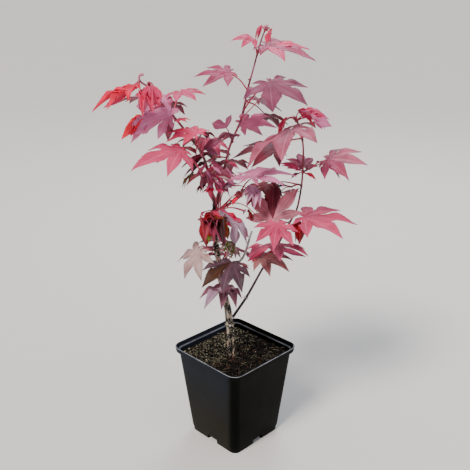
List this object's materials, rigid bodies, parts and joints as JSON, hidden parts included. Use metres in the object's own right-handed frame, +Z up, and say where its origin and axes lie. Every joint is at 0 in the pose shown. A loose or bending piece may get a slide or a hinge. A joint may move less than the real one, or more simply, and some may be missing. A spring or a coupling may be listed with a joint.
{
  "type": "potted japanese maple",
  "caption": "Young red-leaved japanese maple, grafted, with two boughs and a side stem, growing in a square black nursery pot.",
  "frame": {"origin": "middle of the pot's flat underside", "axes": "+Z up along the plant, -Y towards the corner of the pot that faces the viewer, +X to the viewer's right"},
  "size_m": [0.2309, 0.1392, 0.4039],
  "materials": {
    "pot_plastic": "satin",
    "compost": "matte",
    "bark": "matte",
    "shoot_bark": "satin",
    "dark_shoot_bark": "satin",
    "dead_wood": "matte",
    "leaf": "satin"
  },
  "bodies": {
    "root": {"pot": "pot_plastic", "compost": "compost", "trunk": "bark", "left_bough": "shoot_bark", "top_bough": "shoot_bark", "right_stem": "dark_shoot_bark", "second_stem": "bark", "dead_twig": "dead_wood", "left_tip_leaves": "leaf", "left_front_leaves": "leaf", "left_inner_leaves": "leaf", "left_back_leaves": "leaf", "top_leaves": "leaf", "centre_leaves": "leaf", "centre_back_leaves": "leaf", "centre_front_leaves": "leaf", "right_tip_leaves": "leaf", "right_side_leaves": "leaf", "right_inner_leaves": "leaf", "right_front_leaves": "leaf", "right_low_leaves": "leaf", "low_right_leaves": "leaf", "fork_leaves": "leaf", "low_left_leaves": "leaf", "low_front_leaves": "leaf", "low_back_leaves": "leaf"}
  },
  "joints": []
}
